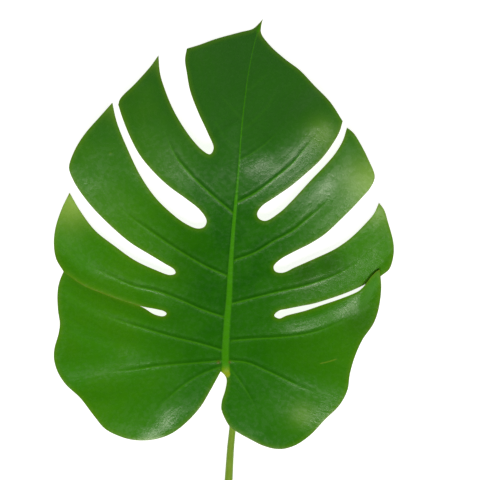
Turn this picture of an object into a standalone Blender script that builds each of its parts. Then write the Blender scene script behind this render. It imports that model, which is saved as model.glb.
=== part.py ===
# A cut monstera leaf lying face up on a table: one waved blade with slits, ribs in relief,
# and its stalk. The flat pattern is drawn in millimetres from the leaf base, where the stalk
# meets the blade, with the tip towards +Y and the upper face up. Meshes are made in metres.
import math

import bmesh
import bpy
import numpy as np
from mathutils import Vector, kdtree
from mathutils.geometry import delaunay_2d_cdt

MM = 0.001

# Where the leaf base stands, seen from the middle of the whole leaf's footprint.
LEAF_BASE = (1.87, -67.85)

BLADE_THICKNESS = 0.7

# Lengths of the triangles' sides along the margin, in the open field and along the ribs, the
# least distance of a rib's points from the margin, the finer steps for measuring distances,
# how many pieces a curve has between two of its points, and the distance at which points join.
MARGIN_STEP = 4.6
FIELD_STEP = 7.2
RIB_STEP = 8.0
RIB_TO_MARGIN = 2.5
MEASURING_STEP = 1.5
SPINE_STEP = 1.0
RIB_MEASURING_STEP = 4.0
CURVE_PIECES = 12
JOINING_DISTANCE = 1e-5

# Corner points of the outline, shared by the margins and slits that meet there.
TIP = (31.5, 301.0)
APEX_CORNER = (-33.5, 275.5)
LEFT_1_TIP = (-57.5, 269.5)
LEFT_1_CORNER = (-91.5, 227.0)
LEFT_2_TIP = (-96.5, 229.0)
LEFT_2_CORNER = (-132.0, 167.5)
LEFT_3_TIP = (-133.0, 152.5)
LEFT_3_CORNER = (-138.5, 85.0)
LEFT_4_CORNER = (-139.2, 83.0)
SINUS = (-4.5, 0.5)
RIGHT_4_CORNER = (134.5, 78.5)
RIGHT_3_CORNER = (132.5, 81.5)
RIGHT_3_TIP = (130.0, 144.0)
RIGHT_2_CORNER = (121.5, 154.5)
RIGHT_2_TIP = (102.5, 207.5)
RIGHT_1_CORNER = (99.0, 213.0)

# The outline, anticlockwise from the tip: margins and slits in turn, each a smooth curve.
OUTLINE = [
    [TIP, (28, 297), (23, 292.5), (12, 289.5), (-9.5, 283.5), (-22, 279), APEX_CORNER],
    [APEX_CORNER, (-35, 266), (-33.5, 255), (-30.5, 239), (-24, 221.5), (-15.5, 203),
     (-10.5, 190), (-13.5, 185), (-19.5, 188), (-30.5, 200), (-43.5, 220.5), (-52, 240.5),
     (-56, 254), LEFT_1_TIP],
    [LEFT_1_TIP, (-64.5, 259.5), (-77, 245.5), (-90, 232), LEFT_1_CORNER],
    [LEFT_1_CORNER, (-88.5, 217.5), (-82, 201), (-73, 184), (-60.5, 169), (-47.5, 157),
     (-35, 148), (-22, 137.5), (-16.5, 128.5), (-18.5, 123.5), (-24, 122), (-35, 126.5),
     (-47.5, 136), (-60.5, 149), (-73, 167.5), (-83.5, 189.5), (-92.5, 212), LEFT_2_TIP],
    [LEFT_2_TIP, (-107, 217), (-120, 202), (-128.5, 188.5), (-133.5, 174), LEFT_2_CORNER],
    [LEFT_2_CORNER, (-127.5, 158.5), (-115.5, 142), (-98.5, 124.5), (-81.5, 110),
     (-64.5, 99.5), (-52, 92), (-44, 87), (-43, 84), (-47.5, 82.5), (-60.5, 87),
     (-77.5, 95), (-94.5, 107), (-111.5, 120.5), (-124, 137), LEFT_3_TIP],
    [LEFT_3_TIP, (-139.5, 139.5), (-145.5, 122), (-147, 108), (-145, 96), LEFT_3_CORNER],
    [LEFT_3_CORNER, (-122.5, 74), (-106, 67), (-89, 61), (-70.5, 55.5), (-60, 53.5),
     (-52.5, 51.5), (-50.5, 49.5), (-53, 47.5), (-61, 49), (-68.6, 53.4), (-72, 55.1),
     (-89, 60.2), (-106, 66.2), (-122.5, 73.2), LEFT_4_CORNER],
    [LEFT_4_CORNER, (-142.5, 76), (-144, 66), (-143.5, 52), (-142, 41), (-143, 32.5),
     (-146.5, 20), (-147, 11), (-144, 0), (-137, -11), (-124, -23), (-113, -37),
     (-103, -48.5), (-90, -55), (-77.5, -58), (-61, -57.5), (-47.5, -53), (-35.5, -44.5),
     (-22, -30), (-13.5, -16), SINUS],
    [SINUS, (-1.5, -2), (0.5, -6), (-0.5, -14.5), (-3.5, -24.5), (-4, -31), (-2, -37),
     (3.5, -46.5), (9, -50.5), (20.5, -57), (33, -63), (46, -65.5), (58.5, -62.5),
     (71.5, -54), (84, -41), (97, -28), (103.5, -15.5), (105.5, -2.5), (109.5, 11.5),
     (116.5, 27), (125.5, 40), (132, 55), (135, 68), RIGHT_4_CORNER],
    [RIGHT_4_CORNER, (124, 74), (115, 69.8), (109.5, 67), (97, 62), (82, 57), (67, 52),
     (51.5, 48), (45, 45.5), (41, 48), (45, 52), (51.5, 53.5), (64, 56), (74.5, 58),
     (89.5, 62.5), (101, 66.5), (112.5, 71.3), (122, 76), RIGHT_3_CORNER],
    [RIGHT_3_CORNER, (139.5, 87.5), (143, 99), (143, 109), (138, 127.5), (134.5, 138),
     RIGHT_3_TIP],
    [RIGHT_3_TIP, (126, 135), (118, 125.5), (105.5, 113.5), (92.5, 104.5), (75.5, 96.5),
     (58.5, 89), (48.5, 84.5), (42, 85.5), (40.5, 89.5), (46, 95.5), (58.5, 102.5),
     (71.5, 109), (84, 117), (97, 129), (109.5, 141.5), RIGHT_2_CORNER],
    [RIGHT_2_CORNER, (125.5, 161.5), (126.5, 167), (121, 180.5), (114, 194), (108, 203),
     RIGHT_2_TIP],
    [RIGHT_2_TIP, (99, 196.5), (92.5, 185.5), (84, 175.5), (72.5, 163.5), (54.5, 144),
     (46, 136), (33.5, 128.5), (28, 130.5), (26.5, 134.5), (30, 140.5), (41.5, 148.5),
     (54.5, 157.5), (66, 167), (81, 181), (91, 194.5), (96.5, 204.5), RIGHT_1_CORNER],
    [RIGHT_1_CORNER, (88.5, 229), (75.5, 243), (63, 256.5), (50, 266.5), (37.5, 278),
     (30, 288.5), (30, 294.5), TIP],
]

# The midrib, from the leaf base to the tip, and the ribs that leave it on either side.
MIDRIB = [(0, -1), (-0.5, 16), (1, 44), (2.5, 61), (4, 89.5), (6, 118), (8.5, 146),
          (11, 174.5), (13, 203), (16, 231), (20, 259.5), (26.5, 288), (30.5, 298.5)]
RIBS = {
    "left_1": [(5.8, 135), (-13.5, 151.5), (-30.5, 168), (-42, 182), (-50.5, 200),
               (-58, 222), (-63, 244)],
    "left_2": [(1, 81.5), (-18, 90), (-43.5, 105), (-64.5, 119.5), (-88.5, 138),
               (-106, 160), (-115, 190)],
    "left_3": [(-1.7, 46.5), (-22, 53.5), (-39, 61), (-59, 68.5), (-79, 73), (-98.5, 81.5),
               (-113, 89.5), (-128, 107)],
    "left_4": [(-3.7, 18.5), (-22, 24), (-45, 29.5), (-70.5, 37), (-90, 43), (-110, 50),
               (-130, 61)],
    "left_5": [(-3.7, 9.5), (-22, 8), (-56, 5), (-79, 1.7), (-101.5, -0.5), (-125, -4)],
    "left_6": [(-4.6, 4.5), (-22, -2.5), (-33.5, -9.5), (-47.5, -21), (-62, -35),
               (-70, -48)],
    "right_0": [(11.5, 180), (23, 186), (34.5, 194.5), (52, 212), (66, 232)],
    "right_1": [(10, 144), (25, 152), (41.5, 164.5), (57, 177.5), (66, 188.5), (77, 201.5),
                (87, 211)],
    "right_2": [(7.7, 95), (25, 101.5), (41.5, 111.5), (57, 120), (71.5, 132), (83, 142),
                (103, 164), (113, 180)],
    "right_3": [(5.4, 58), (23, 62.5), (43, 67.5), (63, 72), (80, 77), (97, 84),
                (114, 94), (132, 107)],
    "right_4": [(4.4, 26.5), (23, 28), (43, 29), (63, 31), (80, 35), (99.5, 43),
                (116.5, 51.5)],
    "right_5": [(3.6, 9.5), (17.5, 8), (34.5, 1), (48.5, -5.5), (63, -12.5), (77, -18),
                (90, -22)],
    "right_6": [(3.4, 3.5), (9, -4), (17.5, -16.5), (24.5, -29.5), (30, -44)],
}

# Half widths of the ribs at shares of their length, and their heights at the foot and at the tip.
MIDRIB_HALF_WIDTH = [(0, 3.9), (0.06, 3.6), (0.2, 3.0), (0.37, 1.95), (0.58, 1.1), (1, 0.5)]
MIDRIB_RISE = (0.7, 0.1)
MIDRIB_DEPTH = (4.0, 0.4)
SIDE_RIB_HALF_WIDTH = [(0, 1.6), (1, 0.7)]
SIDE_RIB_RISE = (0.3, 0.05)
SIDE_RIB_DEPTH = (1.6, 0.3)

# Middle lines of the slits from the midrib outwards, past the margin, with the distance from
# the leaf's axis at which each slit opens.
SLITS = {
    "left_1": ([(10, 168), (-12, 185), (-24, 203), (-34, 221), (-41, 240), (-45, 255),
                (-46.5, 272), (-50, 320)], 12),
    "left_2": ([(4, 112), (-18, 125), (-35, 137), (-48, 147), (-60.5, 159), (-73, 176),
                (-82, 195), (-90, 215), (-94, 228), (-100, 250)], 17),
    "left_3": ([(2, 64), (-43.5, 85.5), (-60.5, 92.5), (-77.5, 101), (-94.5, 114),
                (-111.5, 129), (-124, 145), (-132.5, 160), (-145, 185)], 43),
    "left_4": ([(0, 33), (-50.5, 49.5), (-61, 51.5), (-72, 55.5), (-89, 60.6), (-106, 66.6),
                (-122.5, 73.6), (-139, 84), (-155, 96)], 51),
    "right_1": ([(7, 122), (27, 133), (46, 143), (54.5, 151), (72.5, 168), (84, 180),
                 (92.5, 191), (98, 203), (108, 225)], 27),
    "right_2": ([(5, 76), (41, 87), (58.5, 96), (75.5, 104), (92.5, 114.5), (105.5, 125.5),
                 (118, 138), (126, 149), (140, 170)], 41),
    "right_3": ([(3, 42), (41, 48.5), (51.5, 51), (64, 54), (82, 58.5), (97, 64),
                 (112, 70.5), (133, 80.5), (150, 90)], 41),
}
SLIT_ORDER = {"left": ["left_1", "left_2", "left_3", "left_4"],
              "right": ["right_1", "right_2", "right_3"]}

# Height of the midrib above the table along the leaf, and the droop of the sides: (y, height).
SPINE = [(-70, 14.5), (-45, 14.5), (-20, 14.3), (0, 14.0), (30, 12.0), (80, 10.4), (130, 10.8),
         (155, 12.4), (180, 14.9), (200, 16.5), (215, 16.7), (250, 11.8), (280, 4.9),
         (301, 0.6)]
LEFT_DROOP = 13.6
RIGHT_DROOP = 17.2
SIDE_REACH = 145.0

# Towards the tip the sides droop less: the share, and where along the leaf that begins and ends.
APEX_EASE = 0.8
APEX_EASE_FROM = 30.0
APEX_EASE_TO = 190.0

# The margin all round turns down by this much, within this distance of the edge.
MARGIN_DROOP = 0.5
MARGIN_REACH = 8.0

# Where neighbouring lobes part: how wide the shared height is blended at a slit's inner end,
# how much wider that gets towards the midrib, and how far out the slit parts them wholly.
BLEND_WIDTH = 16.0
BLEND_GROWTH = 1.0
PARTING_LENGTH = 25.0

# Waves of the blade beside a rib: lobe, rib, offset towards the tip, height, half width,
# and the stretch along the rib over which the wave grows to its full height. Each wave runs
# straight on past the end of its rib, as far as the margin.
WAVE_RUN_ON = 60.0
WAVES = [
    ("left_0", "left_1", 36.0, -3.0, 20.0, 30, 90),
    ("left_1", "left_1", 2.0, 1.0, 11.0, 30, 90),
    ("left_1", "left_1", -18.0, -1.5, 12.0, 20, 80),
    ("left_2", "left_2", 20.0, -1.5, 16.0, 5, 45),
    ("left_2", "left_2", 12.0, 1.0, 12.0, 30, 90),
    ("left_3", "left_3", 36.0, 2.5, 24.0, 20, 100),
    ("left_3", "left_3", 4.0, 2.5, 14.0, 40, 110),
    ("left_4", "left_4", 15.0, 3.5, 13.0, 30, 90),
    ("left_4", "left_4", -16.0, 1.5, 11.0, 30, 90),
    ("left_4", "left_5", -8.0, -2.0, 14.0, 30, 90),
    ("left_4", "left_6", -20.0, -2.8, 14.0, 25, 80),
    ("right_0", "right_1", 24.0, 2.8, 17.0, 12, 50),
    ("right_0", "right_1", 14.0, 3.0, 14.0, 50, 95),
    ("right_0", "right_1", 2.0, 1.0, 11.0, 30, 90),
    ("right_0", "right_1", 30.0, -3.0, 22.0, 30, 90),
    ("right_1", "right_2", -26.0, -1.5, 14.0, 30, 90),
    ("right_1", "right_2", 16.0, 1.5, 11.0, 60, 120),
    ("right_1", "right_2", 32.0, 2.5, 22.0, 5, 80),
    ("right_2", "right_3", 32.0, 3.0, 22.0, 5, 80),
    ("right_2", "right_3", 3.0, 1.0, 11.0, 30, 90),
    ("right_3", "right_4", 2.0, -1.0, 11.0, 5, 45),
    ("right_3", "right_4", 16.0, 2.0, 12.0, 20, 70),
    ("right_3", "right_5", 12.0, 1.0, 13.0, 20, 70),
    ("right_3", "right_5", -32.0, -2.0, 18.0, 30, 90),
]

# Lobes that overlap, at the slit nearest the stalk on each side. The lower lobe's upper edge
# slides by shift at its outer corner, and rises by near_rise; the upper lobe's lower edge rises
# by far_rise. Both grow between two distances from the axis, and fade within reach of the slit.
OVERLAPS = {
    "left": {"slit": "left_4", "shift": (1.5, 4.5), "slide_from": 58.0, "slide_to": 139.0,
             "near_rise": -3.4, "far_rise": 2.6, "rise_from": 50.0, "rise_to": 75.0,
             "reach": 16.0},
    "right": {"slit": "right_3", "shift": (-3.5, 8.5), "slide_from": 112.0, "slide_to": 134.0,
              "near_rise": 3.0, "far_rise": 0.0, "rise_from": 88.0, "rise_to": 122.0,
              "reach": 38.0},
}

# The stalk's middle line, with how far each point is lifted off the table, and its radius
# at distances from its upper end. It swells to a knee under the blade and has a shallow channel.
PETIOLE_PATH = [(2.6, -3.4, 7.9), (4.2, -9.5, 3.4), (5.6, -17.0, 1.0), (6.3, -29.0, 0.1),
                (5.6, -47.0, 0.0), (3.8, -66.0, 0.0), (2.2, -92.0, 0.0), (0.0, -125.0, 0.0),
                (-3.0, -165.0, 0.0)]
PETIOLE_RADIUS = [(0, 2.6), (6, 3.2), (14, 3.2), (30, 2.85), (48, 2.85), (66, 3.05),
                  (92, 3.45), (125, 3.85), (175, 4.2)]
PETIOLE_SIDES = 14
PETIOLE_STEP = 5.0
PETIOLE_CHANNEL = 0.12
PETIOLE_CHANNEL_SHARPNESS = 6

CREASE_ANGLE = math.radians(50)

BLADE_GREEN = (0.045, 0.2, 0.02)
BLADE_ROUGHNESS = 0.4
STALK_GREEN = (0.2, 0.34, 0.03)
STALK_ROUGHNESS = 0.5


def clear_scene():
    for thing in list(bpy.data.objects):
        bpy.data.objects.remove(thing, do_unlink=True)


def smooth_curve(points, step):
    """Samples a smooth curve through the points, about every step, in even spacing. The curve
    is timed by the square roots of the gaps, which keeps it from looping in tight bends."""
    knots = np.array(points, dtype=float)
    before = 2 * knots[0] - knots[1]
    after = 2 * knots[-1] - knots[-2]
    padded = np.vstack([before, knots, after])
    dense = [knots[0]]
    for p0, p1, p2, p3 in zip(padded, padded[1:], padded[2:], padded[3:]):
        t1 = np.linalg.norm(p1 - p0) ** 0.5
        t2 = t1 + np.linalg.norm(p2 - p1) ** 0.5
        t3 = t2 + np.linalg.norm(p3 - p2) ** 0.5
        for t in np.linspace(t1, t2, CURVE_PIECES + 1)[1:]:
            a1 = p0 * (t1 - t) / t1 + p1 * t / t1
            a2 = p1 * (t2 - t) / (t2 - t1) + p2 * (t - t1) / (t2 - t1)
            a3 = p2 * (t3 - t) / (t3 - t2) + p3 * (t - t2) / (t3 - t2)
            b1 = a1 * (t2 - t) / t2 + a2 * t / t2
            b2 = a2 * (t3 - t) / (t3 - t1) + a3 * (t - t1) / (t3 - t1)
            dense.append(b1 * (t2 - t) / (t2 - t1) + b2 * (t - t1) / (t2 - t1))
    dense = np.array(dense)
    length = np.concatenate([[0], np.cumsum(np.linalg.norm(np.diff(dense, axis=0), axis=1))])
    count = max(2, int(round(length[-1] / step)) + 1)
    places = np.linspace(0, length[-1], count)
    return np.column_stack([np.interp(places, length, dense[:, k]) for k in range(knots.shape[1])])


def smooth_step(value):
    value = np.clip(value, 0, 1)
    return value * value * (3 - 2 * value)


def closed_outline(step):
    loop = []
    for stretch in OUTLINE:
        loop.extend(smooth_curve(stretch, step)[:-1])
    return np.array(loop)


def tree_of(points):
    """A search tree for the nearest of the flat points."""
    tree = kdtree.KDTree(len(points))
    for index, point in enumerate(points):
        tree.insert((point[0], point[1], 0), index)
    tree.balance()
    return tree


def along_and_across(x, y, path):
    """Arc length to the nearest point of a path, and the distance to its left side."""
    best = np.full(x.shape, np.inf)
    along = np.zeros(x.shape)
    across = np.zeros(x.shape)
    travelled = 0.0
    for start, end in zip(path[:-1], path[1:]):
        run = end - start
        length = np.linalg.norm(run)
        t = np.clip(((x - start[0]) * run[0] + (y - start[1]) * run[1]) / length ** 2, 0, 1)
        dx = x - start[0] - t * run[0]
        dy = y - start[1] - t * run[1]
        distance = np.hypot(dx, dy)
        nearer = distance < best
        side = np.where(run[0] * dy - run[1] * dx >= 0, 1.0, -1.0)
        best = np.where(nearer, distance, best)
        along = np.where(nearer, travelled + t * length, along)
        across = np.where(nearer, side * distance, across)
        travelled += length
    return along, across


def run_on(path, length):
    """The path, carried straight on past its end."""
    onward = path[-1] - path[-2]
    return np.vstack([path, path[-1] + onward / np.linalg.norm(onward) * length])


class Leaf:
    """The blade as a flat pattern, with its height and thickness at any place of the pattern."""

    def __init__(self):
        self.spine = smooth_curve(SPINE, SPINE_STEP)
        self.midrib = smooth_curve(MIDRIB, RIB_MEASURING_STEP)
        self.ribs = {name: smooth_curve(points, RIB_MEASURING_STEP)
                     for name, points in RIBS.items()}
        self.margin = closed_outline(MEASURING_STEP)
        self.margin_tree = tree_of(self.margin)

    def from_margin(self, x, y):
        return np.array([self.margin_tree.find((px, py, 0))[2] for px, py in zip(x, y)])

    def midrib_x(self, y):
        return np.interp(y, self.midrib[:, 1], self.midrib[:, 0])

    def slit_line(self, x, name):
        """The slit's y at each x, and how far out each x lies from where the slit opens."""
        points, opening = SLITS[name]
        side = 1 if name.startswith("right") else -1
        places = [side * point[0] for point in points]
        line = np.interp(side * x, places, [point[1] for point in points])
        return line, side * x - opening

    def lobe_shares(self, x, y):
        """How far each place belongs to each lobe: blended near the midrib, cut at the slits."""
        shares = {}
        right = x > self.midrib_x(y)
        for side, names in SLIT_ORDER.items():
            on_side = right if side == "right" else ~right
            left_over = np.ones(x.shape)
            for number, name in enumerate(names):
                line, past = self.slit_line(x, name)
                width = BLEND_WIDTH + BLEND_GROWTH * np.maximum(-past, 0)
                blended = smooth_step((y - line) / width + 0.5)
                parted = (y > line).astype(float)
                opened = smooth_step(past / PARTING_LENGTH)
                beyond = blended * (1 - opened) + parted * opened
                shares[f"{side}_{number}"] = left_over * beyond * on_side
                left_over = left_over * (1 - beyond)
            shares[f"{side}_{len(names)}"] = left_over * on_side
        return shares

    def beside_slit(self, x, y, side, grow_from, grow_to):
        """Shares of the overlapping lobes' edges, near (the lower lobe) and far (the upper)."""
        rules = OVERLAPS[side]
        line, _ = self.slit_line(x, rules["slit"])
        outwards = x if side == "right" else -x
        grown = smooth_step((outwards - grow_from) / (grow_to - grow_from))
        close = grown * (1 - smooth_step(np.abs(line - y) / rules["reach"]))
        return close * (y < line), close * (y >= line)

    def slide(self, x, y):
        """Moves the lower lobes' upper edges: the left one under, the right one over."""
        moved_x = x.copy()
        moved_y = y.copy()
        for side, rules in OVERLAPS.items():
            near, _ = self.beside_slit(x, y, side, rules["slide_from"], rules["slide_to"])
            moved_x += near * rules["shift"][0]
            moved_y += near * rules["shift"][1]
        return moved_x, moved_y

    def height(self, x, y):
        """Height of the blade's middle surface over the table."""
        spine = np.interp(y, self.spine[:, 0], self.spine[:, 1])
        aside = (x - self.midrib_x(y)) / SIDE_REACH
        droop = np.where(aside > 0, RIGHT_DROOP, LEFT_DROOP)
        eased = smooth_step((y - APEX_EASE_FROM) / (APEX_EASE_TO - APEX_EASE_FROM))
        z = spine - droop * (1 - APEX_EASE * eased) * aside ** 2
        z -= MARGIN_DROOP * np.exp(-(self.from_margin(x, y) / MARGIN_REACH) ** 2)
        shares = self.lobe_shares(x, y)
        for lobe, rib, offset, rise, width, start, full in WAVES:
            along, across = along_and_across(x, y, run_on(self.ribs[rib], WAVE_RUN_ON))
            towards_tip = across if rib.startswith("right") else -across
            grown = smooth_step((along - start) / (full - start))
            wave = rise * grown * np.exp(-((towards_tip - offset) / width) ** 2)
            z += wave * shares[lobe]
        for side, rules in OVERLAPS.items():
            near, far = self.beside_slit(x, y, side, rules["rise_from"], rules["rise_to"])
            z += near * rules["near_rise"] + far * rules["far_rise"]
        return z

    def rib_profile(self, x, y, path, half_width, size):
        """A rib's cross section: full on its line and nothing at its half width."""
        along, across = along_and_across(x, y, path)
        total = np.sum(np.linalg.norm(np.diff(path, axis=0), axis=1))
        share = along / total
        width = np.interp(share, *zip(*half_width))
        amount = size[0] + (size[1] - size[0]) * share
        return amount * np.clip(1 - np.abs(across) / width, 0, 1)

    def thickness(self, x, y):
        """Rise of the upper face and depth of the lower face from the middle surface."""
        rise = self.rib_profile(x, y, self.midrib, MIDRIB_HALF_WIDTH, MIDRIB_RISE)
        depth = self.rib_profile(x, y, self.midrib, MIDRIB_HALF_WIDTH, MIDRIB_DEPTH)
        for path in self.ribs.values():
            side_rise = self.rib_profile(x, y, path, SIDE_RIB_HALF_WIDTH, SIDE_RIB_RISE)
            side_depth = self.rib_profile(x, y, path, SIDE_RIB_HALF_WIDTH, SIDE_RIB_DEPTH)
            rise = np.maximum(rise, side_rise)
            depth = np.maximum(depth, side_depth)
        return rise + BLADE_THICKNESS / 2, depth + BLADE_THICKNESS / 2

    def faces_at(self, x, y):
        """Places of the upper and lower face over a place of the pattern."""
        z = self.height(x, y)
        rise, depth = self.thickness(x, y)
        low = np.maximum(z - depth, 0)
        high = low + rise + depth
        moved_x, moved_y = self.slide(x, y)
        return np.column_stack([moved_x, moved_y, high]), np.column_stack([moved_x, moved_y, low])


def rib_lines(leaf):
    """Lines that the blade's triangles follow: each rib's crest and both its feet. A side rib's
    feet start two steps out, and its crest one, because its root lies in the midrib."""
    lines = []
    ribs = [(leaf.midrib, MIDRIB_HALF_WIDTH, 0, 0)]
    ribs += [(path, SIDE_RIB_HALF_WIDTH, 1, 2) for path in leaf.ribs.values()]
    for path, half_width, first_crest, first_foot in ribs:
        crest = smooth_curve(path, RIB_STEP)
        tangent = np.gradient(crest, axis=0)
        tangent /= np.linalg.norm(tangent, axis=1)[:, None]
        normal = np.column_stack([-tangent[:, 1], tangent[:, 0]])
        share = np.linspace(0, 1, len(crest))
        width = np.interp(share, *zip(*half_width))[:, None]
        lines.append(crest[first_crest:])
        lines.append((crest + normal * width)[first_foot:])
        lines.append((crest - normal * width)[first_foot:])
    return lines


def keep_clear(points, others, distance):
    """Drops the points that lie nearer than distance to any of the others."""
    tree = tree_of(others)
    return [point for point in points if tree.find((point[0], point[1], 0))[2] >= distance]


def inside(point, loop):
    x, y = point
    crossings = 0
    for (x1, y1), (x2, y2) in zip(loop, np.roll(loop, -1, axis=0)):
        if (y1 > y) != (y2 > y) and x < x1 + (y - y1) * (x2 - x1) / (y2 - y1):
            crossings += 1
    return crossings % 2 == 1


def flat_mesh(leaf):
    """Splits the flat pattern into triangles that follow the outline and the ribs."""
    loop = closed_outline(MARGIN_STEP)
    points = [tuple(point) for point in loop]
    edges = [(k, (k + 1) % len(points)) for k in range(len(points))]
    lines = rib_lines(leaf)
    for line in lines:
        kept = keep_clear(line, leaf.margin, RIB_TO_MARGIN)
        first = len(points)
        points.extend(tuple(point) for point in kept)
        edges.extend((k, k + 1) for k in range(first, len(points) - 1))
    low = loop.min(axis=0)
    high = loop.max(axis=0)
    grid = []
    for row, y in enumerate(np.arange(low[1], high[1], FIELD_STEP * math.sqrt(3) / 2)):
        for x in np.arange(low[0] + (row % 2) * FIELD_STEP / 2, high[0], FIELD_STEP):
            grid.append((x, y))
    along_lines = [point for line in lines for point in smooth_curve(line, MEASURING_STEP)]
    grid = keep_clear(grid, list(leaf.margin) + along_lines, FIELD_STEP / 2)
    points.extend(point for point in grid if inside(point, loop))
    flat = [Vector(point) for point in points]
    vertices, _, faces, _, _, _ = delaunay_2d_cdt(flat, edges, [], 1, JOINING_DISTANCE)
    return np.array([tuple(vertex) for vertex in vertices]), faces


def make_mesh_object(name, vertices, faces, material):
    mesh = bpy.data.meshes.new(name)
    placed = [((x + LEAF_BASE[0]) * MM, (y + LEAF_BASE[1]) * MM, z * MM) for x, y, z in vertices]
    mesh.from_pydata(placed, [], faces)
    mesh.materials.append(material)
    mesh.validate()
    thing = bpy.data.objects.new(name, mesh)
    bpy.context.scene.collection.objects.link(thing)
    return thing


def finish_normals(thing):
    bm = bmesh.new()
    bm.from_mesh(thing.data)
    bmesh.ops.recalc_face_normals(bm, faces=bm.faces)
    bm.to_mesh(thing.data)
    bm.free()
    thing.data.shade_smooth()
    thing.data.set_sharp_from_angle(angle=CREASE_ANGLE)


def make_material(name, colour, roughness):
    material = bpy.data.materials.new(name)
    material.use_nodes = True
    shader = material.node_tree.nodes["Principled BSDF"]
    shader.inputs["Base Color"].default_value = (*colour, 1)
    shader.inputs["Roughness"].default_value = roughness
    shader.inputs["Metallic"].default_value = 0.0
    return material


def make_blade(material):
    leaf = Leaf()
    pattern, triangles = flat_mesh(leaf)
    upper, lower = leaf.faces_at(pattern[:, 0], pattern[:, 1])
    count = len(pattern)
    faces = [tuple(face) for face in triangles]
    faces += [tuple(k + count for k in reversed(face)) for face in triangles]
    used = {}
    for face in triangles:
        for a, b in zip(face, face[1:] + face[:1]):
            used[(a, b)] = True
    for a, b in used:
        if (b, a) not in used:
            faces.append((b, a, a + count))
            faces.append((b, a + count, b + count))
    blade = make_mesh_object("blade", np.vstack([upper, lower]), faces, material)
    finish_normals(blade)
    return blade


def make_petiole(material):
    path = smooth_curve(PETIOLE_PATH, PETIOLE_STEP)
    length = np.concatenate([[0], np.cumsum(np.linalg.norm(np.diff(path, axis=0), axis=1))])
    radius = np.interp(length, *zip(*PETIOLE_RADIUS))
    tangent = np.gradient(path, axis=0)
    vertices = []
    for centre, along, size in zip(path, tangent, radius):
        forward = Vector(along).normalized()
        across = forward.cross(Vector((0, 0, 1))).normalized()
        up = across.cross(forward)
        middle = Vector(centre) + Vector((0, 0, size * math.cos(math.pi / PETIOLE_SIDES)))
        for k in range(PETIOLE_SIDES):
            angle = 2 * math.pi * k / PETIOLE_SIDES
            channel = 1 - PETIOLE_CHANNEL * max(0.0, math.sin(angle)) ** PETIOLE_CHANNEL_SHARPNESS
            spoke = (across * math.cos(angle) + up * math.sin(angle)) * size * channel
            vertex = middle + spoke
            vertices.append((vertex.x, vertex.y, max(vertex.z, 0)))
    faces = []
    rings = len(path)
    for ring in range(rings - 1):
        for k in range(PETIOLE_SIDES):
            a = ring * PETIOLE_SIDES + k
            b = ring * PETIOLE_SIDES + (k + 1) % PETIOLE_SIDES
            faces.append((a, b, b + PETIOLE_SIDES, a + PETIOLE_SIDES))
    faces.append(tuple(range(PETIOLE_SIDES)))
    faces.append(tuple((rings - 1) * PETIOLE_SIDES + k for k in range(PETIOLE_SIDES)))
    petiole = make_mesh_object("petiole", vertices, faces, material)
    finish_normals(petiole)
    return petiole


def main():
    clear_scene()
    make_blade(make_material("blade green", BLADE_GREEN, BLADE_ROUGHNESS))
    make_petiole(make_material("stalk green", STALK_GREEN, STALK_ROUGHNESS))


main()
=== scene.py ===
import math

import bpy
import numpy as np
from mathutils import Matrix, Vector, kdtree, noise
from mathutils.geometry import delaunay_2d_cdt


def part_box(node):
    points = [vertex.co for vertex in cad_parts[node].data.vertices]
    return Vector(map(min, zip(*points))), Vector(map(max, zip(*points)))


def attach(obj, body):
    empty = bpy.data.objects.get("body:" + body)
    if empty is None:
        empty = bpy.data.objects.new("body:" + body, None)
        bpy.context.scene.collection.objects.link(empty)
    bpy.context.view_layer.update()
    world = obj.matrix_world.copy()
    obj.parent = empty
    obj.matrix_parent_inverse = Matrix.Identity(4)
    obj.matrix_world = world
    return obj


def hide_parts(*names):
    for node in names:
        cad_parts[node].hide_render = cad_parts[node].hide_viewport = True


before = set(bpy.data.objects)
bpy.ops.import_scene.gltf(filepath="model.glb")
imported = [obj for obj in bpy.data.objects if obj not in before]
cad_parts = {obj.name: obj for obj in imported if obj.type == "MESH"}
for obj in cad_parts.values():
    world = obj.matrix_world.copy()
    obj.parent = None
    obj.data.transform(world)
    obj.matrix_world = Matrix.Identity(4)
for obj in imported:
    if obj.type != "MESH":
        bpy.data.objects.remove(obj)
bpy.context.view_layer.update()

mm = 0.001
curvePieces = 12  # how many pieces a curve has between two of its points


# Helpers for curves and falloffs. Lengths are in millimetres until a mesh is made.

def smoothStep(value):
    value = np.clip(value, 0, 1)
    return value * value * (3 - 2 * value)


def bell(value, width):
    return np.exp(-(value / width) ** 2)


def smoothCurve(points, step):
    knots = np.array(points, dtype=float)
    padded = np.vstack([2 * knots[0] - knots[1], knots, 2 * knots[-1] - knots[-2]])
    dense = [knots[0]]
    for p0, p1, p2, p3 in zip(padded, padded[1:], padded[2:], padded[3:]):
        t1 = np.linalg.norm(p1 - p0) ** 0.5
        t2 = t1 + np.linalg.norm(p2 - p1) ** 0.5
        t3 = t2 + np.linalg.norm(p3 - p2) ** 0.5
        for t in np.linspace(t1, t2, curvePieces + 1)[1:]:
            a1 = p0 * (t1 - t) / t1 + p1 * t / t1
            a2 = p1 * (t2 - t) / (t2 - t1) + p2 * (t - t1) / (t2 - t1)
            a3 = p2 * (t3 - t) / (t3 - t2) + p3 * (t - t2) / (t3 - t2)
            b1 = a1 * (t2 - t) / t2 + a2 * t / t2
            b2 = a2 * (t3 - t) / (t3 - t1) + a3 * (t - t1) / (t3 - t1)
            dense.append(b1 * (t2 - t) / (t2 - t1) + b2 * (t - t1) / (t2 - t1))
    dense = np.array(dense)
    length = np.concatenate([[0], np.cumsum(np.linalg.norm(np.diff(dense, axis=0), axis=1))])
    count = max(2, int(round(length[-1] / step)) + 1)
    places = np.linspace(0, length[-1], count)
    return np.column_stack([np.interp(places, length, column) for column in dense.T])


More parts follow.
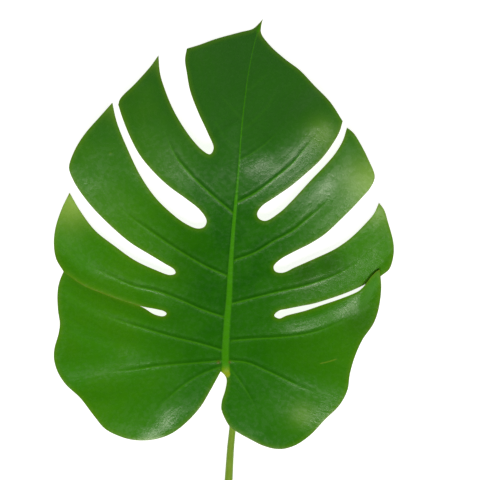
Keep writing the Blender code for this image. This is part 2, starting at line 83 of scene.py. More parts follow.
def treeOf(points):
    tree = kdtree.KDTree(len(points))
    for index, point in enumerate(points):
        tree.insert((point[0], point[1], 0), index)
    tree.balance()
    return tree


def distanceTo(tree, x, y):
    return np.array([tree.find((px, py, 0))[2] for px, py in zip(x, y)])


# Arc length to the nearest point of the path, distance to its left, and the path's length
def alongAndAcross(x, y, path):
    best = np.full(x.shape, np.inf)
    along = np.zeros(x.shape)
    across = np.zeros(x.shape)
    travelled = 0.0
    for start, end in zip(path[:-1], path[1:]):
        run = end - start
        length = np.linalg.norm(run)
        t = np.clip(((x - start[0]) * run[0] + (y - start[1]) * run[1]) / length ** 2, 0, 1)
        dx = x - start[0] - t * run[0]
        dy = y - start[1] - t * run[1]
        distance = np.hypot(dx, dy)
        nearer = distance < best
        side = np.where(run[0] * dy - run[1] * dx >= 0, 1.0, -1.0)
        best = np.where(nearer, distance, best)
        along = np.where(nearer, travelled + t * length, along)
        across = np.where(nearer, side * distance, across)
        travelled += length
    return along, across, travelled


def runOn(path, length):  # the path carried straight on past its end
    onward = path[-1] - path[-2]
    return np.vstack([path, path[-1] + onward / np.linalg.norm(onward) * length])


# Helpers for shader nodes

def tint(red, green, blue):  # a colour as seen on screen, 0 to 255, turned linear
    parts = [part / 255 for part in (red, green, blue)]
    linear = [p / 12.92 if p <= 0.04045 else ((p + 0.055) / 1.055) ** 2.4 for p in parts]
    return (*linear, 1.0)


def addNode(tree, kind, inputs=None, **settings):
    made = tree.nodes.new(kind)
    made.location = (len(tree.nodes) % 8 * 190, -(len(tree.nodes) // 8) * 260)
    for name, value in settings.items():
        setattr(made, name, value)
    for name, value in (inputs or {}).items():
        if isinstance(value, bpy.types.NodeSocket):
            tree.links.new(value, made.inputs[name])
        else:
            made.inputs[name].default_value = value
    return made


def calculate(tree, operation, first, second=0.0, clamp=False):
    made = addNode(tree, "ShaderNodeMath", {0: first, 1: second}, operation=operation)
    made.use_clamp = clamp
    return made.outputs[0]


def rangeOf(tree, value, low, high, toLow=0.0, toHigh=1.0):  # a smooth ramp between two values
    inputs = {"Value": value, "From Min": low, "From Max": high, "To Min": toLow, "To Max": toHigh}
    return addNode(tree, "ShaderNodeMapRange", inputs, interpolation_type="SMOOTHSTEP").outputs[0]


def mixColours(tree, share, under, over):
    made = addNode(tree, "ShaderNodeMix", {0: share, 6: under, 7: over}, data_type="RGBA")
    return made.outputs[2]


def attribute(tree, name):
    return addNode(tree, "ShaderNodeAttribute", attribute_name=name).outputs["Fac"]


def newGroup(name, inputs, outputs):
    group = bpy.data.node_groups.new(name, "ShaderNodeTree")
    for label, value in inputs.items():
        kind = "NodeSocketVector" if value is None else "NodeSocketFloat"
        socket = group.interface.new_socket(label, in_out="INPUT", socket_type=kind)
        if value is not None:
            socket.default_value = value
    for label in outputs:
        group.interface.new_socket(label, in_out="OUTPUT", socket_type="NodeSocketFloat")
    given = group.nodes.new("NodeGroupInput").outputs
    result = group.nodes.new("NodeGroupOutput").inputs
    return group, given, result


def useGroup(tree, group, inputs):
    return addNode(tree, "ShaderNodeGroup", inputs, node_tree=group).outputs


def newMaterial(name):
    material = bpy.data.materials.new(name)
    material.use_nodes = True
    tree = material.node_tree
    shader = tree.nodes["Principled BSDF"]
    return material, tree, shader


# Shared effects

def makeMottle():  # soft patches of growth with finer ones in them
    group, given, result = newGroup(
        "growthMottle", {"Vector": None, "Scale": 80.0}, ["Patches", "Fine"])
    broad = addNode(group, "ShaderNodeTexNoise", {
        "Vector": given["Vector"], "Scale": given["Scale"], "Detail": 3.0, "Roughness": 0.55})
    fineScale = calculate(group, "MULTIPLY", given["Scale"], 5.0)
    fine = addNode(group, "ShaderNodeTexNoise", {
        "Vector": given["Vector"], "Scale": fineScale, "Detail": 2.0, "Roughness": 0.5})
    group.links.new(rangeOf(group, broad.outputs["Fac"], 0.36, 0.64), result["Patches"])
    group.links.new(rangeOf(group, fine.outputs["Fac"], 0.3, 0.7), result["Fine"])
    return group


def makeVeinNet():  # the fine net of veinlets, with a finer one inside it
    group, given, result = newGroup(
        "veinletNet", {"Vector": None, "Scale": 260.0, "Width": 0.12}, ["Net"])
    warp = addNode(group, "ShaderNodeTexNoise", {
        "Vector": given["Vector"], "Scale": 300.0, "Detail": 1.0})
    pushed = addNode(group, "ShaderNodeVectorMath", {
        0: warp.outputs["Color"], 1: (0.0016, 0.0016, 0.0016)}, operation="MULTIPLY")
    place = addNode(group, "ShaderNodeVectorMath", {
        0: given["Vector"], 1: pushed.outputs[0]}, operation="ADD").outputs[0]
    nets = []
    for finer, strength in ((1.0, 1.0), (2.7, 0.5)):
        scale = calculate(group, "MULTIPLY", given["Scale"], finer)
        cells = addNode(group, "ShaderNodeTexVoronoi", {
            "Vector": place, "Scale": scale}, feature="DISTANCE_TO_EDGE")
        nets.append(rangeOf(group, cells.outputs["Distance"], 0.0, given["Width"], strength, 0.0))
    group.links.new(calculate(group, "MAXIMUM", nets[0], nets[1]), result["Net"])
    return group


def makeStreaks():  # soft parallel lines that run along a rib or a stalk
    group, given, result = newGroup(
        "growthStreaks", {"Across": 0.0, "Along": 0.0, "Spacing": 4.0, "Length": 50.0}, ["Streaks"])
    place = addNode(group, "ShaderNodeCombineXYZ", {
        "X": calculate(group, "DIVIDE", given["Across"], given["Spacing"]),
        "Y": calculate(group, "DIVIDE", given["Along"], given["Length"])})
    lines = addNode(group, "ShaderNodeTexNoise", {
        "Vector": place.outputs[0], "Scale": 1.0, "Detail": 2.0, "Roughness": 0.6})
    group.links.new(rangeOf(group, lines.outputs["Fac"], 0.3, 0.7), result["Streaks"])
    return group


def makeRimTint():  # the thin discoloured line along the margin, uneven in width
    group, given, result = newGroup(
        "rimTint", {"Vector": None, "Margin": 10.0, "Width": 1.0}, ["Rim"])
    uneven = addNode(group, "ShaderNodeTexNoise", {
        "Vector": given["Vector"], "Scale": 90.0, "Detail": 2.0})
    share = rangeOf(group, uneven.outputs["Fac"], 0.3, 0.7, 0.5, 1.3)
    reach = calculate(group, "MULTIPLY", given["Width"], share)
    group.links.new(rangeOf(group, given["Margin"], 0.0, reach, 1.0, 0.0), result["Rim"])
    return group


mottle = makeMottle()
veinletNet = makeVeinNet()
streaks = makeStreaks()
rimTint = makeRimTint()
print("shared effects made")


# The blade

leaf = {
    # A stretch of margin or slit starts at its first point and ends at the next one's first.
    "outline": [
        [(31.5, 301), (28, 297), (23, 292.5), (12, 289.5), (-9.5, 283.5), (-22, 279)],
        [(-33.5, 275.5), (-35, 266), (-33.5, 255), (-30.5, 239), (-24, 221.5), (-15.5, 203),
         (-10.5, 190), (-13.5, 185), (-19.5, 188), (-30.5, 200), (-43.5, 220.5), (-52, 240.5),
         (-56, 254)],
        [(-57.5, 269.5), (-64.5, 259.5), (-77, 245.5), (-90, 232)],
        [(-91.5, 227), (-88.5, 217.5), (-82, 201), (-73, 184), (-60.5, 169), (-47.5, 157),
         (-35, 148), (-22, 137.5), (-16.5, 128.5), (-18.5, 123.5), (-24, 122), (-35, 126.5),
         (-47.5, 136), (-60.5, 149), (-73, 167.5), (-83.5, 189.5), (-92.5, 212)],
        [(-96.5, 229), (-107, 217), (-120, 202), (-128.5, 188.5), (-133.5, 174)],
        [(-132, 167.5), (-127.5, 158.5), (-115.5, 142), (-98.5, 124.5), (-81.5, 110),
         (-64.5, 99.5), (-52, 92), (-44, 87), (-43, 84), (-47.5, 82.5), (-60.5, 87),
         (-77.5, 95), (-94.5, 107), (-111.5, 120.5), (-124, 137)],
        [(-133, 152.5), (-139.5, 139.5), (-145.5, 122), (-147, 108), (-145, 96)],
        [(-138.5, 85), (-122.5, 74), (-106, 67), (-89, 61), (-70.5, 55.5), (-60, 53.5),
         (-52.5, 51.5), (-50.5, 49.5), (-53, 47.5), (-61, 49), (-68.6, 53.4), (-72, 55.1),
         (-89, 60.2), (-106, 66.2), (-122.5, 73.2)],
        [(-139.2, 83), (-142.5, 76), (-144, 66), (-143.5, 52), (-142, 41), (-143, 32.5),
         (-146.5, 20), (-147, 11), (-144, 0), (-137, -11), (-124, -23), (-113, -37),
         (-103, -48.5), (-90, -55), (-77.5, -58), (-61, -57.5), (-47.5, -53),
         (-35.5, -44.5), (-22, -30), (-13.5, -16)],
        [(-4.5, 0.5), (-1.5, -2), (0.5, -6), (-0.5, -14.5), (-3.5, -24.5), (-4, -31),
         (-2, -37), (3.5, -46.5), (9, -50.5), (20.5, -57), (33, -63), (46, -65.5),
         (58.5, -62.5), (71.5, -54), (84, -41), (97, -28), (103.5, -15.5), (105.5, -2.5),
         (109.5, 11.5), (116.5, 27), (125.5, 40), (132, 55), (135, 68)],
        [(134.5, 78.5), (124, 74), (115, 69.8), (109.5, 67), (97, 62), (82, 57), (67, 52),
         (51.5, 48), (45, 45.5), (41, 48), (45, 52), (51.5, 53.5), (64, 56), (74.5, 58),
         (89.5, 62.5), (101, 66.5), (112.5, 71.3), (122, 76)],
        [(132.5, 81.5), (139.5, 87.5), (143, 99), (143, 109), (138, 127.5), (134.5, 138)],
        [(130, 144), (126, 135), (118, 125.5), (105.5, 113.5), (92.5, 104.5), (75.5, 96.5),
         (58.5, 89), (48.5, 84.5), (42, 85.5), (40.5, 89.5), (46, 95.5), (58.5, 102.5),
         (71.5, 109), (84, 117), (97, 129), (109.5, 141.5)],
        [(121.5, 154.5), (125.5, 161.5), (126.5, 167), (121, 180.5), (114, 194), (108, 203)],
        [(102.5, 207.5), (99, 196.5), (92.5, 185.5), (84, 175.5), (72.5, 163.5), (54.5, 144),
         (46, 136), (33.5, 128.5), (28, 130.5), (26.5, 134.5), (30, 140.5), (41.5, 148.5),
         (54.5, 157.5), (66, 167), (81, 181), (91, 194.5), (96.5, 204.5)],
        [(99, 213), (88.5, 229), (75.5, 243), (63, 256.5), (50, 266.5), (37.5, 278),
         (30, 288.5), (30, 294.5)],
    ],
    "midrib": [(0, -1), (-0.5, 16), (1, 44), (2.5, 61), (4, 89.5), (6, 118), (8.5, 146),
               (11, 174.5), (13, 203), (16, 231), (20, 259.5), (26.5, 288), (30.5, 298.5)],
    # The midrib's half width and its rise over the blade, at distances from the leaf base
    "midribHalfWidth": [(0, 3.9), (18, 3.6), (61, 3.0), (87, 2.5), (112, 1.95), (146, 1.6),
                        (174, 1.1), (231, 0.6), (300, 0.35)],
    "midribRise": [(0, 0.15), (8, 0.9), (110, 0.6), (200, 0.25), (300, 0.1)],
    # How square the midrib's crown is, and the hollow at its foot: depth as a share of the
    # rise, place beyond the edge, width; then the painted shade line on one side of it: place,
    # width, start
    "midribCrown": 2.4, "midribFoot": (0.4, 0.9, 1.3), "midribShadeLine": (0.4, 0.9, -0.2),
    "midribEdge": 2.2, "midribUnderSpread": 1.1,
    # Each side rib's line, how far along it fades out, and how strongly it shows
    "ribs": {
        "left1": ([(5.8, 135), (-13.5, 151.5), (-30.5, 168), (-42, 182), (-50.5, 200),
                    (-58, 222), (-63, 244)], 0.75, 1.0),
        "left2": ([(1, 81.5), (-18, 90), (-43.5, 105), (-64.5, 119.5), (-88.5, 138),
                    (-106, 160), (-115, 190)], 0.72, 1.0),
        "left3": ([(-1.7, 46.5), (-22, 53.5), (-39, 61), (-59, 68.5), (-79, 73),
                    (-98.5, 81.5), (-113, 89.5), (-128, 107)], 0.95, 1.0),
        "left4": ([(-3.7, 18.5), (-22, 24), (-45, 29.5), (-70.5, 37), (-90, 43), (-110, 50),
                    (-130, 61)], 0.9, 1.0),
        "left5": ([(-3.7, 9.5), (-22, 8), (-56, 5), (-79, 1.7), (-101.5, -0.5),
                    (-125, -4)], 0.85, 0.8),
        "left6": ([(-4.6, 4.5), (-22, -2.5), (-33.5, -9.5), (-47.5, -21), (-62, -35),
                    (-70, -48)], 0.85, 0.6),
        "right0": ([(11.5, 180), (23, 186), (34.5, 194.5), (52, 212), (66, 232)], 0.6, 0.4),
        "right1": ([(10, 144), (25, 152), (41.5, 164.5), (57, 177.5), (66, 188.5),
                     (77, 201.5), (87, 211)], 1.0, 1.0),
        "right2": ([(7.7, 95), (25, 101.5), (41.5, 111.5), (57, 120), (71.5, 132),
                     (83, 142), (103, 164), (113, 180)], 0.8, 1.0),
        "right3": ([(5.4, 58), (23, 62.5), (43, 67.5), (63, 72), (80, 77), (97, 84),
                     (114, 94), (132, 107)], 0.95, 1.0),
        "right4": ([(4.4, 26.5), (23, 28), (43, 29), (63, 31), (80, 35), (99.5, 43),
                     (116.5, 51.5)], 1.0, 0.9),
        "right5": ([(3.6, 9.5), (17.5, 8), (34.5, 1), (48.5, -5.5), (63, -12.5),
                     (77, -18), (90, -22)], 0.9, 0.9),
        "right6": ([(3.4, 3.5), (9, -4), (17.5, -16.5), (24.5, -29.5), (30, -44)], 0.85, 0.5),
    },
    "faintVeins": [[(14.7, 205.7), (24, 213.5), (34.6, 224.4), (42, 238)],
                   [(9.4, 191.3), (0.6, 197.2), (-9, 212)],
                   [(17, 238), (34, 252)], [(13, 215), (-4, 234)]],
    "faintVein": 0.15, "faintVeinWidth": 0.9,
    # The side ribs' cross-section at their foot and their end, the dip beside them, and the painted
    # shade line in it
    "ribHalfWidth": (1.25, 0.5), "ribRise": (0.4, 0.12), "ribDip": (0.22, 0.08),
    "ribDipAt": 2.7, "ribDipWidth": 1.8, "ribUnder": (1.4, 0.3), "midribUnder": (3.6, 0.4),
    "ribSoftness": 1.1, "ribUnderSpread": 1.6, "ribFadeFrom": 0.55,
    "creaseAt": 1.9, "creaseWidth": 1.3, "farFromRibs": 60.0, "grainReach": 8,
    # Slits: their middle lines from the midrib outwards, and how far out each one opens
    "slits": {
        "left1": ([(10, 168), (-12, 185), (-24, 203), (-34, 221), (-41, 240), (-45, 255),
                    (-46.5, 272), (-50, 320)], 12),
        "left2": ([(4, 112), (-18, 125), (-35, 137), (-48, 147), (-60.5, 159), (-73, 176),
                    (-82, 195), (-90, 215), (-94, 228), (-100, 250)], 17),
        "left3": ([(2, 64), (-43.5, 85.5), (-60.5, 92.5), (-77.5, 101), (-94.5, 114),
                    (-111.5, 129), (-124, 145), (-132.5, 160), (-145, 185)], 43),
        "left4": ([(0, 33), (-50.5, 49.5), (-61, 51.5), (-72, 55.5), (-89, 60.6), (-106, 66.6),
                    (-122.5, 73.6), (-139, 84), (-155, 96)], 51),
        "right1": ([(7, 122), (27, 133), (46, 143), (54.5, 151), (72.5, 168), (84, 180),
                     (92.5, 191), (98, 203), (108, 225)], 27),
        "right2": ([(5, 76), (41, 87), (58.5, 96), (75.5, 104), (92.5, 114.5),
                     (105.5, 125.5), (118, 138), (126, 149), (140, 170)], 41),
        "right3": ([(3, 42), (41, 48.5), (51.5, 51), (64, 54), (82, 58.5), (97, 64),
                     (112, 70.5), (133, 80.5), (150, 90)], 41),
    },
    "slitOrder": {"left": ["left1", "left2", "left3", "left4"],
                  "right": ["right1", "right2", "right3"]},
    # The form: height of the midrib along the leaf, and how the sides and margin droop
    "spine": [(-70, 14.5), (-45, 14.5), (-20, 14.3), (0, 14.0), (30, 12.0), (80, 10.4),
              (130, 10.8), (155, 12.4), (180, 14.9), (200, 16.5), (215, 16.7), (250, 11.8),
              (280, 4.9), (301, 0.6)],
    "droop": {"left": 13.6, "right": 17.2}, "sideReach": 145.0,
    "apexEase": 0.8, "apexEaseSpan": (30.0, 190.0),
    "marginDroop": 0.5, "marginReach": 8.0,
    "blendWidth": 16.0, "blendGrowth": 1.0, "partingLength": 25.0,
    # Waves: lobe, rib, offset towards the tip, height, half width, and where along the rib
    # the wave starts and is full; each runs straight on past the rib's end
    "runOn": 60.0,
    "waves": [
        ("left0", "left1", 36.0, -3.0, 20.0, 30, 90),
        ("left1", "left1", 2.0, 1.0, 11.0, 30, 90),
        ("left1", "left1", -18.0, -1.5, 12.0, 20, 80),
        ("left2", "left2", 20.0, -1.5, 16.0, 5, 45),
        ("left2", "left2", 12.0, 1.0, 12.0, 30, 90),
        ("left3", "left3", 36.0, 2.5, 24.0, 20, 100),
        ("left3", "left3", 4.0, 2.5, 14.0, 40, 110),
        ("left4", "left4", 15.0, 3.5, 13.0, 30, 90),
        ("left4", "left4", -16.0, 1.5, 11.0, 30, 90),
        ("left4", "left5", -8.0, -2.0, 14.0, 30, 90),
        ("left4", "left6", -20.0, -2.8, 14.0, 25, 80),
        ("right0", "right1", 24.0, 2.8, 17.0, 12, 50),
        ("right0", "right1", 14.0, 3.0, 14.0, 50, 95),
        ("right0", "right1", 2.0, 1.0, 11.0, 30, 90),
        ("right0", "right1", 30.0, -3.0, 22.0, 30, 90),
        ("right1", "right2", -26.0, -1.5, 14.0, 30, 90),
        ("right1", "right2", 16.0, 1.5, 11.0, 60, 120),
        ("right1", "right2", 32.0, 2.5, 22.0, 5, 80),
        ("right2", "right3", 32.0, 3.0, 22.0, 5, 80),
        ("right2", "right3", 3.0, 1.0, 11.0, 30, 90),
        ("right3", "right4", 2.0, -1.0, 11.0, 5, 45),
        ("right3", "right4", 16.0, 2.0, 12.0, 20, 70),
        ("right3", "right5", 12.0, 1.0, 13.0, 20, 70),
        ("right3", "right5", -32.0, -2.0, 18.0, 30, 90),
    ],
    # Lobes that overlap at the slit nearest the stalk: the lower lobe's edge slides and rises
    # by near, the upper lobe's edge rises by far
    "overlaps": {
        "left": {"slit": "left4", "shift": (1.5, 4.5), "slide": (58.0, 139.0),
                 "near": -3.4, "far": 2.6, "rise": (50.0, 75.0), "reach": 16.0},
        "right": {"slit": "right3", "shift": (-3.5, 8.5), "slide": (112.0, 134.0),
                  "near": 3.0, "far": 0.0, "rise": (88.0, 122.0), "reach": 38.0},
    },
    "cadThickness": 0.7, "thickness": 0.45, "rimThickness": 0.3, "rimReach": 1.5,
    "leastThickness": 0.2, "marginSeen": 30,
    "pucker": 0.2, "puckerSize": 17.0, "puckerSlice": 0.5, "puckerFromMargin": 12,
    "wart": {"place": (-98.0, 185.7), "height": 0.35, "radius": 1.1,
             "pale": 0.5, "paleRadius": 0.8},
    # The yellow foot of the midrib, and the brown spots on it: place and radius
    "stubFrom": -2, "stubLength": 9, "brownSpots": [(-6.5, 8.5, 1.2), (3, 8.5, 1.0)],
    "rightPaleness": 0.75,  # how far out the right side's paler skin counts, beside the left's
    # Pale yellower patches, paler skin with a painted highlight on it, then darker patches of
    # painted shade: lobe, place, reach and strength
    "paleTipsAndHighlights": [("left3", (-132, 146), 20, 1.0), ("right1", (122, 163), 20, 0.65),
                 ("right0", (82, 202), 13, 0.3), ("right3", (65, -37), 11, 0.25),
                 ("right2", (131, 140), 14, 0.5), ("left2", (-94, 228), 12, 0.35),
                 ("left1", (-56, 265), 9, 0.35), ("right0", (31, 296), 7, 0.6)],
    # Darker patches of painted shade
    "shadePatches": [("right2", (68, 84), 15, 0.6), ("right2", (88, 92), 15, 0.6),
                    ("right3", (114, 44), 17, 0.45)],
    "scratch": [(80.5, 7.2), (87, 8.6), (93.5, 10.6)], "scratchHalfWidth": 0.7,
    # Lengths of the triangles' sides, and the steps in which lines are measured
    "marginStep": 1.0, "fieldStep": 1.32, "ribStep": 1.3, "scratchStep": 0.8,
    "measuringStep": 1.5, "marginMeasuringStep": 0.8, "spineStep": 1.0, "markMeasuringStep": 4.0,
    # Lines beside the midrib that triangles follow: share of its half width, and how far up
    "midribGuides": [(0, 300), (0.6, 150), (1, 290), (1.45, 200)],
    "guideToMargin": 0.7, "guideGap": 3, "fieldToGuide": 0.55, "joiningDistance": 1e-5,
    "sharpAngle": 60,
}


def closedOutline(step):
    loop = []
    stretches = leaf["outline"]
    for stretch, following in zip(stretches, stretches[1:] + stretches[:1]):
        loop.extend(smoothCurve([*stretch, following[0]], step)[:-1])
    return np.array(loop)


midribLine = smoothCurve(leaf["midrib"], leaf["measuringStep"])
ribPaths = {name: smoothCurve(path, leaf["measuringStep"])
            for name, (path, _, _) in leaf["ribs"].items()}
marginLoop = closedOutline(leaf["marginMeasuringStep"])
marginTree = treeOf(marginLoop)


def midribX(y):
    return np.interp(y, midribLine[:, 1], midribLine[:, 0])


def slitLine(x, name):  # the slit's y at each x, and how far each x is past its inner end
    points, opening = leaf["slits"][name]
    side = 1 if name.startswith("right") else -1
    places = [side * point[0] for point in points]
    return np.interp(side * x, places, [point[1] for point in points]), side * x - opening


def lobeShares(x, y):  # how far each place belongs to each lobe
    shares = {}
    isRight = x > midribX(y)
    for side, names in leaf["slitOrder"].items():
        onSide = isRight if side == "right" else ~isRight
        leftOver = np.ones(x.shape)
        for number, name in enumerate(names):
            line, past = slitLine(x, name)
            width = leaf["blendWidth"] + leaf["blendGrowth"] * np.maximum(-past, 0)
            blended = smoothStep((y - line) / width + 0.5)
            opened = smoothStep(past / leaf["partingLength"])
            beyond = blended * (1 - opened) + (y > line) * opened
            shares[f"{side}{number}"] = leftOver * beyond * onSide
            leftOver = leftOver * (1 - beyond)
        shares[f"{side}{len(names)}"] = leftOver * onSide
    return shares


def besideSlit(x, y, side, span):  # shares of the two edges, lower lobe's and upper lobe's
    rules = leaf["overlaps"][side]
    line, _ = slitLine(x, rules["slit"])
    outwards = x if side == "right" else -x
    grown = smoothStep((outwards - span[0]) / (span[1] - span[0]))
    close = grown * (1 - smoothStep(np.abs(line - y) / rules["reach"]))
    return close * (y < line), close * (y >= line)


def slid(x, y):
    movedX, movedY = x.copy(), y.copy()
    for side, rules in leaf["overlaps"].items():
        near, _ = besideSlit(x, y, side, rules["slide"])
        movedX += near * rules["shift"][0]
        movedY += near * rules["shift"][1]
    return movedX, movedY


def formHeight(x, y, margin, ribPlaces):  # height of the blade's middle surface over the floor
    spine = smoothCurve(leaf["spine"], leaf["spineStep"])
    aside = (x - midribX(y)) / leaf["sideReach"]
    droop = np.where(aside > 0, leaf["droop"]["right"], leaf["droop"]["left"])
    easeFrom, easeTo = leaf["apexEaseSpan"]
    eased = smoothStep((y - easeFrom) / (easeTo - easeFrom))
    z = np.interp(y, spine[:, 0], spine[:, 1])
    z -= droop * (1 - leaf["apexEase"] * eased) * aside ** 2
    z -= leaf["marginDroop"] * bell(margin, leaf["marginReach"])
    shares = lobeShares(x, y)
    for lobe, rib, offset, rise, width, start, full in leaf["waves"]:
        along, across, _ = ribPlaces[rib]
        towardsTip = across if rib.startswith("right") else -across
        grown = smoothStep((along - start) / (full - start))
        z += rise * grown * bell(towardsTip - offset, width) * shares[lobe]
    for side, rules in leaf["overlaps"].items():
        near, far = besideSlit(x, y, side, rules["rise"])
        z += near * rules["near"] + far * rules["far"]
    return z


def ribDetail(x, y, ribPlaces):  # fine relief on both faces, and the masks that colour it
    upper = np.zeros(x.shape)
    under = np.zeros(x.shape)
    masks = {name: np.zeros(x.shape) for name in ("vein", "creaseShade", "midrib")}
    nearest = np.full(x.shape, leaf["farFromRibs"])
    second = nearest.copy()
    acrossNearest = nearest.copy()
    alongNearest = np.zeros(x.shape)
    for name, (along, across, length) in ribPlaces.items():
        _, gone, strength = leaf["ribs"][name]
        share = along / (length - leaf["runOn"])
        towardsTip = across if name.startswith("right") else -across
        fading = gone * leaf["ribFadeFrom"]
        fade = strength * (1 - smoothStep((share - fading) / (gone - fading)))
        half, rise, dip, deep = [first + (last - first) * share for first, last in (
            leaf["ribHalfWidth"], leaf["ribRise"], leaf["ribDip"], leaf["ribUnder"])]
        upper += rise * fade * bell(across, half * leaf["ribSoftness"])
        upper -= dip * fade * bell(towardsTip - leaf["ribDipAt"], leaf["ribDipWidth"])
        underHalf = half * leaf["ribUnderSpread"]
        under = np.maximum(under, deep * np.clip(1 - np.abs(across) / underHalf, 0, 1))
        masks["vein"] = np.maximum(masks["vein"], fade * np.clip(1 - np.abs(across) / half, 0, 1))
        # Painted shade: a dark line on the tip side of each rib
        creaseShade = fade * bell(towardsTip - leaf["creaseAt"], leaf["creaseWidth"])
        masks["creaseShade"] = np.maximum(masks["creaseShade"], creaseShade)
        nearer = np.abs(across) < nearest
        second = np.where(nearer, nearest, np.minimum(second, np.abs(across)))
        nearest = np.where(nearer, np.abs(across), nearest)
        acrossNearest = np.where(nearer, across, acrossNearest)
        alongNearest = np.where(nearer, along, alongNearest)
    along, across, length = alongAndAcross(x, y, midribLine)
    half = np.interp(along, *zip(*leaf["midribHalfWidth"]))
    rise = np.interp(along, *zip(*leaf["midribRise"]))
    inBand = np.clip(1 - (np.abs(across) / half) ** leaf["midribCrown"], 0, 1)
    beyondBand = np.abs(across) - half
    depth, footAt, footWidth = leaf["midribFoot"]
    foot = np.where(beyondBand > 0, depth * rise * bell(beyondBand - footAt, footWidth), 0)
    upper = np.where(inBand > 0, upper * (1 - inBand) + rise * inBand, upper - foot)
    deep = np.interp(along, (0, length), leaf["midribUnder"])
    underHalf = half * leaf["midribUnderSpread"]
    under = np.maximum(under, deep * np.clip(1 - (np.abs(across) / underHalf) ** 2, 0, 1))
    masks["midrib"] = smoothStep(inBand * leaf["midribEdge"])
    # Painted shade: a dark line beside the midrib, on its left side only
    creaseAt, creaseWidth, creaseFrom = leaf["midribShadeLine"]
    shadedSide = (across > 0) * (beyondBand > creaseFrom)
    creaseShade = shadedSide * bell(beyondBand - creaseAt, creaseWidth) * rise
    masks["creaseShade"] = np.maximum(masks["creaseShade"] * (beyondBand > 0), creaseShade)
    for path in leaf["faintVeins"]:
        _, across, _ = alongAndAcross(x, y, smoothCurve(path, leaf["markMeasuringStep"]))
        faint = leaf["faintVein"] * bell(across, leaf["faintVeinWidth"])
        masks["vein"] = np.maximum(masks["vein"], faint)
    masks["across"] = acrossNearest
    masks["along"] = alongNearest
    # Streaks are gone halfway between two ribs
    masks["grain"] = smoothStep((second - nearest) / leaf["grainReach"])
    return upper, under, masks


def guideLines():  # lines that the triangles follow: crests and feet of ribs, and the scratch
    lines = []
    step = leaf["ribStep"]
    crest = smoothCurve(leaf["midrib"], step)
    half = np.interp(crest[:, 1], *zip(*leaf["midribHalfWidth"]))[:, None]
    for share, reach in leaf["midribGuides"]:
        for side in ((1, -1) if share else (1,)):
            lines.append((crest + side * share * half * normalsOf(crest))[crest[:, 1] < reach])
    for path, _, _ in leaf["ribs"].values():
        crest = smoothCurve(path, step)
        first, last = leaf["ribHalfWidth"]
        half = np.linspace(first, last, len(crest))[:, None]
        for side in (0, 1, -1):
            lines.append((crest + side * half * normalsOf(crest))[2:])
    crest = smoothCurve(leaf["scratch"], leaf["scratchStep"])
    for side in (0, 1, -1):
        lines.append(crest + side * leaf["scratchHalfWidth"] * normalsOf(crest))
    return lines


def normalsOf(line):
    tangent = np.gradient(line, axis=0)
    tangent /= np.linalg.norm(tangent, axis=1)[:, None]
    return np.column_stack([-tangent[:, 1], tangent[:, 0]])


def insideRow(loop, y, places):  # which places along a row lie inside the loop
    following = np.roll(loop, -1, axis=0)
    crosses = (loop[:, 1] > y) != (following[:, 1] > y)
    start, end = loop[crosses], following[crosses]
    hits = np.sort(start[:, 0] + (y - start[:, 1]) * (end[:, 0] - start[:, 0])
                   / (end[:, 1] - start[:, 1]))
    return np.searchsorted(hits, places) % 2 == 1


def flatPattern():
    loop = closedOutline(leaf["marginStep"])
    points = [tuple(point) for point in loop]
    edges = [(k, (k + 1) % len(points)) for k in range(len(points))]
    taken = [loop]
    for line in guideLines():
        kept = line[distanceTo(marginTree, line[:, 0], line[:, 1]) > leaf["guideToMargin"]]
        first = len(points)
        points.extend(tuple(point) for point in kept)
        edges.extend((k, k + 1) for k in range(first, len(points) - 1)
                     if math.dist(points[k], points[k + 1]) < leaf["guideGap"] * leaf["ribStep"])
        taken.append(kept)
    takenTree = treeOf(np.vstack(taken))
    step = leaf["fieldStep"]
    clearing = step * leaf["fieldToGuide"]
    low, high = loop.min(axis=0), loop.max(axis=0)
    for row, y in enumerate(np.arange(low[1], high[1], step * math.sqrt(3) / 2)):
        places = np.arange(low[0] + row % 2 * step / 2, high[0], step)
        places = places[insideRow(loop, y, places)]
        clear = distanceTo(takenTree, places, np.full(places.shape, y)) > clearing
        points.extend((x, y) for x in places[clear])
    flat = [Vector(point) for point in points]
    vertices, _, faces, _, _, _ = delaunay_2d_cdt(flat, edges, [], 1, leaf["joiningDistance"])
    return np.array([tuple(vertex) for vertex in vertices]), np.array(faces)


def meshPiece(name, vertices, faces, materials, slots, values):
    mesh = bpy.data.meshes.new(name)
    mesh.from_pydata(vertices, [], faces)
    for material in materials:
        mesh.materials.append(material)
    mesh.polygons.foreach_set("material_index", slots)
    for label, numbers in values.items():
        made = mesh.attributes.new(label, "FLOAT", "POINT")
        made.data.foreach_set("value", np.asarray(numbers, dtype=np.float32))
    mesh.shade_smooth()
    piece = bpy.data.objects.new(name, mesh)
    bpy.context.scene.collection.objects.link(piece)
    return piece


bladeColours = {
    "web": tint(24, 92, 2), "webPale": tint(42, 112, 4), "warm": tint(74, 132, 8),
    # The apex green is a painted dull sheen over the skin's green
    "outer": tint(64, 136, 8), "apex": tint(50, 104, 34), "low": tint(46, 122, 3),
    # The lobe tip green is paler skin with a painted highlight; the deep green is painted shade
    "paleTipAndHighlight": tint(150, 187, 76), "deep": tint(30, 74, 6), "edge": tint(104, 146, 20),
    # The crease green is painted shade
    "creaseShade": tint(22, 80, 6), "vein": tint(74, 148, 16),
    "midrib": tint(64, 142, 4), "stub": tint(140, 165, 10), "rim": tint(112, 122, 28),
    "brown": tint(104, 74, 16), "scar": tint(120, 150, 40),
    "under": tint(104, 142, 62), "underPale": tint(128, 162, 84), "underVein": tint(150, 178, 88),
    "roughness": 0.26, "underRoughness": 0.55,
}


def layered(tree, first, layers):  # colours laid over each other by masks
    colour = first
    for mask, amount, over in layers:
        share = calculate(tree, "MULTIPLY", mask, amount, clamp=True)
        colour = mixColours(tree, share, colour, over)
    return colour


